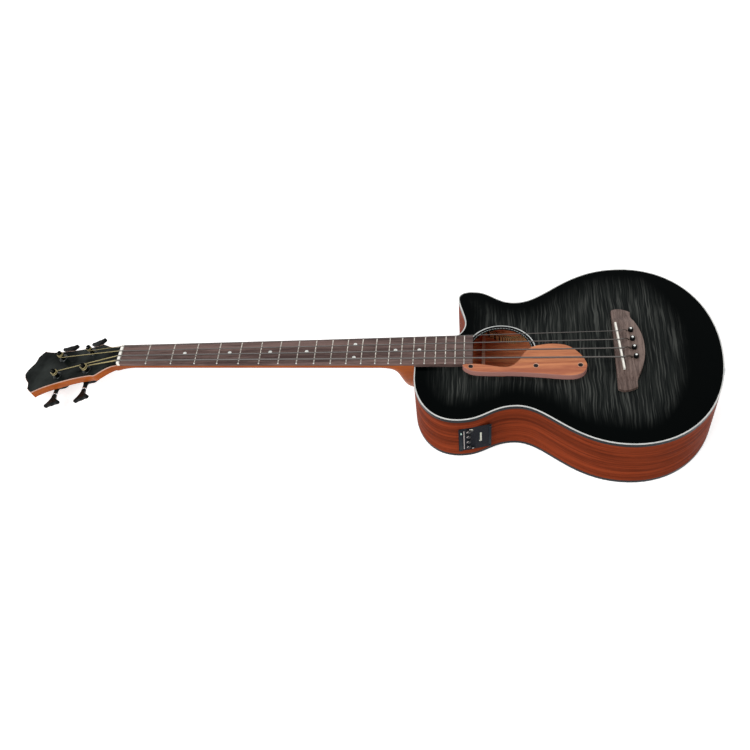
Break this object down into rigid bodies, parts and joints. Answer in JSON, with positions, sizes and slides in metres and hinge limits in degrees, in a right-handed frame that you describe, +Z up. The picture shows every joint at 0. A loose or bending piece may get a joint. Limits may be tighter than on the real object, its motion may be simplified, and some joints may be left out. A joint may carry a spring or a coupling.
{
  "type": "acoustic bass guitar",
  "caption": "Flat-topped acoustic bass guitar with one cutaway, long fretted neck, tilted headstock, geared tuners, pinned bridge and side preamp.",
  "frame": {"origin": "on the flat of the back, under the middle of the body's length, on the centre line", "axes": "+X from the headstock to the tail, +Y towards the treble side, +Z up out of the soundboard"},
  "size_m": [1.1727, 0.358, 0.1205],
  "materials": {
    "top_lacquer": "black burst lacquer over figured wood, high gloss",
    "white_trim": "ivory white plastic, gloss",
    "black_trim": "black plastic, gloss",
    "side_wood": "red-brown ribbon striped wood, gloss lacquer",
    "back_wood": "red-brown ribbon striped wood, gloss lacquer",
    "inner_wood": "raw pale wood",
    "neck_wood": "amber-orange wood, gloss lacquer",
    "head_lacquer": "black lacquered face, high gloss",
    "fretboard_wood": "open-grained dark brown wood, satin",
    "bridge_wood": "grey-brown wood, satin",
    "rest_wood": "orange-brown wood with dark streaks, gloss lacquer",
    "bone": "polished white bone",
    "string_wire": "bronze-wound wire",
    "pin_plastic": "black plastic, gloss",
    "tuner_metal": "black plated metal, gloss",
    "steel": "bright nickel steel",
    "jack_metal": "black plated metal, gloss",
    "panel_plastic": "black moulded plastic, satin",
    "knob_plastic": "black moulded plastic, satin",
    "display_glass": "dark tinted window, gloss",
    "battery_case": "printed metal jacket, bare of print"
  },
  "bodies": {
    "guitar": {"soundboard": "top_lacquer", "rosette": "white_trim", "back_plate": "back_wood", "top_binding": "white_trim", "back_binding": "black_trim", "side_bass": "side_wood", "side_treble": "side_wood", "top_lining": "inner_wood", "back_lining": "inner_wood", "neck_block": "inner_wood", "tail_block": "inner_wood", "x_brace_bass": "inner_wood", "x_brace_treble": "inner_wood", "upper_brace": "inner_wood", "tone_bar": "inner_wood", "bridge_plate": "bridge_wood", "back_strip": "inner_wood", "back_brace_1": "inner_wood", "back_brace_2": "inner_wood", "back_brace_3": "inner_wood", "neck": "neck_wood", "headstock_veneer": "head_lacquer", "truss_rod": "steel", "fretboard": "fretboard_wood", "nut": "bone", "bridge": "bridge_wood", "pickup_strip": "steel", "saddle": "bone", "thumb_rest": "rest_wood", "preamp_panel": "panel_plastic", "preamp_display": "display_glass", "preamp_box": "panel_plastic", "battery": "battery_case", "end_pin_jack": "jack_metal", "strap_button": "jack_metal", "bridge_pin_1": "pin_plastic", "tuner_housing_1": "tuner_metal", "bridge_pin_2": "pin_plastic", "tuner_housing_2": "tuner_metal", "bridge_pin_3": "pin_plastic", "tuner_housing_3": "tuner_metal", "bridge_pin_4": "pin_plastic", "tuner_housing_4": "tuner_metal", "string_e": "string_wire", "string_a": "string_wire", "string_d": "string_wire", "string_g": "string_wire"},
    "key_1": {"tuner_key_1": "tuner_metal"},
    "post_1": {"tuner_post_1": "tuner_metal"},
    "key_2": {"tuner_key_2": "tuner_metal"},
    "post_2": {"tuner_post_2": "tuner_metal"},
    "key_3": {"tuner_key_3": "tuner_metal"},
    "post_3": {"tuner_post_3": "tuner_metal"},
    "key_4": {"tuner_key_4": "tuner_metal"},
    "post_4": {"tuner_post_4": "tuner_metal"},
    "knob_1": {"preamp_knob_1": "knob_plastic"},
    "knob_2": {"preamp_knob_2": "knob_plastic"},
    "knob_3": {"preamp_knob_3": "knob_plastic"},
    "knob_4": {"preamp_knob_4": "knob_plastic"},
    "button": {"preamp_button": "knob_plastic"}
  },
  "joints": [
    {"name": "key_1_turn", "type": "hinge", "parent": "guitar", "child": "key_1", "pos_m": [-0.79943, -0.0193, 0.04709], "axis": [0, -1, 0], "continuous": true},
    {"name": "post_1_turn", "type": "hinge", "parent": "guitar", "child": "post_1", "pos_m": [-0.79281, -0.0193, 0.07], "axis": [-0.2673, 0, 0.9636], "continuous": true},
    {"name": "key_2_turn", "type": "hinge", "parent": "guitar", "child": "key_2", "pos_m": [-0.85676, -0.0193, 0.03119], "axis": [0, -1, 0], "continuous": true},
    {"name": "post_2_turn", "type": "hinge", "parent": "guitar", "child": "post_2", "pos_m": [-0.85015, -0.0193, 0.0541], "axis": [-0.2673, 0, 0.9636], "continuous": true},
    {"name": "key_3_turn", "type": "hinge", "parent": "guitar", "child": "key_3", "pos_m": [-0.85676, 0.0193, 0.03119], "axis": [0, 1, 0], "continuous": true},
    {"name": "post_3_turn", "type": "hinge", "parent": "guitar", "child": "post_3", "pos_m": [-0.85015, 0.0193, 0.0541], "axis": [-0.2673, 0, 0.9636], "continuous": true},
    {"name": "key_4_turn", "type": "hinge", "parent": "guitar", "child": "key_4", "pos_m": [-0.79943, 0.0193, 0.04709], "axis": [0, 1, 0], "continuous": true},
    {"name": "post_4_turn", "type": "hinge", "parent": "guitar", "child": "post_4", "pos_m": [-0.79281, 0.0193, 0.07], "axis": [-0.2673, 0, 0.9636], "continuous": true},
    {"name": "knob_1_turn", "type": "hinge", "parent": "guitar", "child": "knob_1", "pos_m": [-0.15153, -0.13243, 0.068], "axis": [0.1998, -0.9798, 0], "range_deg": [-135, 135]},
    {"name": "knob_2_turn", "type": "hinge", "parent": "guitar", "child": "knob_2", "pos_m": [-0.15153, -0.13243, 0.0555], "axis": [0.1998, -0.9798, 0], "range_deg": [-135, 135]},
    {"name": "knob_3_turn", "type": "hinge", "parent": "guitar", "child": "knob_3", "pos_m": [-0.15153, -0.13243, 0.042], "axis": [0.1998, -0.9798, 0], "range_deg": [-135, 135]},
    {"name": "knob_4_turn", "type": "hinge", "parent": "guitar", "child": "knob_4", "pos_m": [-0.15153, -0.13243, 0.0284], "axis": [0.1998, -0.9798, 0], "range_deg": [-135, 135]},
    {"name": "button_press", "type": "slide", "parent": "guitar", "child": "button", "axis": [-0.2431, 0.97, 0], "range_m": [0, 0.0008], "stiffness_N_per_m": 400}
  ],
  "couplings": [
    {"joint": "post_1_turn", "follows": "key_1_turn", "ratio": -0.05},
    {"joint": "post_2_turn", "follows": "key_2_turn", "ratio": -0.05},
    {"joint": "post_3_turn", "follows": "key_3_turn", "ratio": 0.05},
    {"joint": "post_4_turn", "follows": "key_4_turn", "ratio": 0.05}
  ]
}
